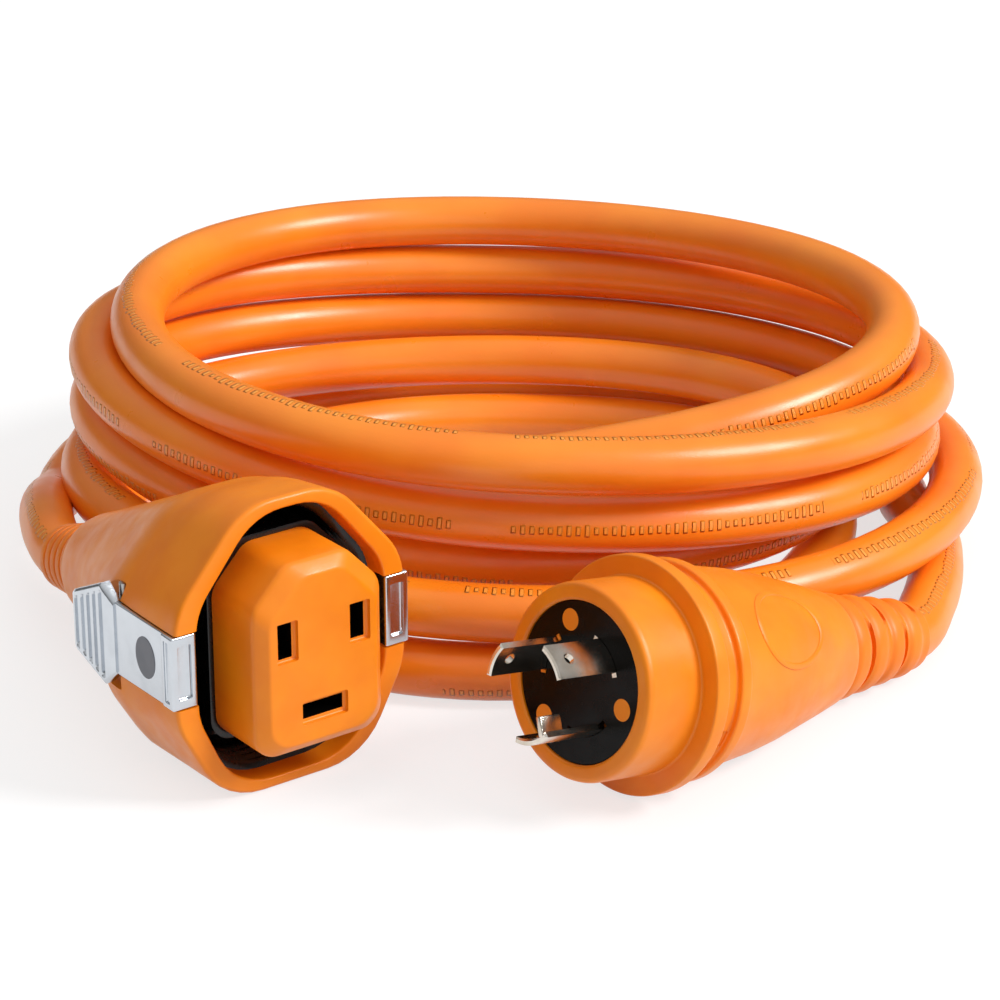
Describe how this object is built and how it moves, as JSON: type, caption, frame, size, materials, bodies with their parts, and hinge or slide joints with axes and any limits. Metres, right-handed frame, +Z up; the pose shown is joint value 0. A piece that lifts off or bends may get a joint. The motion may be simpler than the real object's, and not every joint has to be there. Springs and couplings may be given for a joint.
{
  "type": "shore power cord",
  "caption": "Coiled shore power cord: an orange cable with a latching boat or caravan connector at one end and a locking blade plug at the other.",
  "frame": {"origin": "on the floor, at the front edge of the connector collar's flat underside, below the middle of its mouth", "axes": "+Z up from the floor; -Y the way the connector's mouth faces; +X to the right seen from the front, towards the coil and the plug"},
  "size_m": [0.3675, 0.3695, 0.09],
  "materials": {
    "cable_sheath": "satin",
    "orange_housing": "satin",
    "orange_relief": "satin",
    "black_seal": "satin",
    "black_face": "gloss",
    "brass_contact": "satin",
    "chromed_latch": "polished",
    "brass_spring": "satin",
    "grey_clamp": "matt",
    "black_wire": "satin",
    "white_wire": "satin",
    "green_wire": "satin",
    "nickel_blade": "nickel plated",
    "steel_fastener": "zinc plated"
  },
  "bodies": {
    "cord": {"connector_shell": "orange_housing", "mouth_seal": "black_seal", "contact_block": "orange_housing", "contact_block_screws": "steel_fastener", "line_socket": "brass_contact", "neutral_socket": "brass_contact", "ground_socket": "brass_contact", "socket_terminal_screws": "steel_fastener", "connector_line_wire": "black_wire", "connector_neutral_wire": "white_wire", "connector_ground_wire": "green_wire", "connector_cable_tail": "cable_sheath", "connector_clamp_upper": "grey_clamp", "connector_clamp_lower": "grey_clamp", "connector_clamp_screws": "steel_fastener", "connector_strain_relief": "orange_relief", "left_latch_pin": "steel_fastener", "right_latch_pin": "steel_fastener", "left_latch_spring": "brass_spring", "right_latch_spring": "brass_spring", "plug_body": "orange_housing", "plug_face_disc": "black_face", "plug_core": "orange_housing", "plug_core_screws": "steel_fastener", "line_blade": "nickel_blade", "neutral_blade": "nickel_blade", "ground_blade": "nickel_blade", "blade_terminal_screws": "steel_fastener", "plug_line_wire": "black_wire", "plug_neutral_wire": "white_wire", "plug_ground_wire": "green_wire", "plug_cable_tail": "cable_sheath", "plug_clamp_upper": "grey_clamp", "plug_clamp_lower": "grey_clamp", "plug_clamp_screws": "steel_fastener", "plug_strain_relief": "orange_relief", "cable_coil": "cable_sheath", "cable_connector_lead": "cable_sheath", "cable_plug_lead": "cable_sheath"},
    "left_latch": {"left_latch": "chromed_latch"},
    "right_latch": {"right_latch": "chromed_latch"}
  },
  "joints": [
    {"name": "left_latch_hinge", "type": "hinge", "parent": "cord", "child": "left_latch", "pos_m": [-0.0352, 0.034, 0.045], "axis": [0, 0, -1], "range_deg": [0, 8], "stiffness_Nm_per_rad": 0.6, "springref_deg": -2.86},
    {"name": "right_latch_hinge", "type": "hinge", "parent": "cord", "child": "right_latch", "pos_m": [0.0352, 0.034, 0.045], "axis": [0, 0, 1], "range_deg": [0, 8], "stiffness_Nm_per_rad": 0.6, "springref_deg": -2.86}
  ]
}
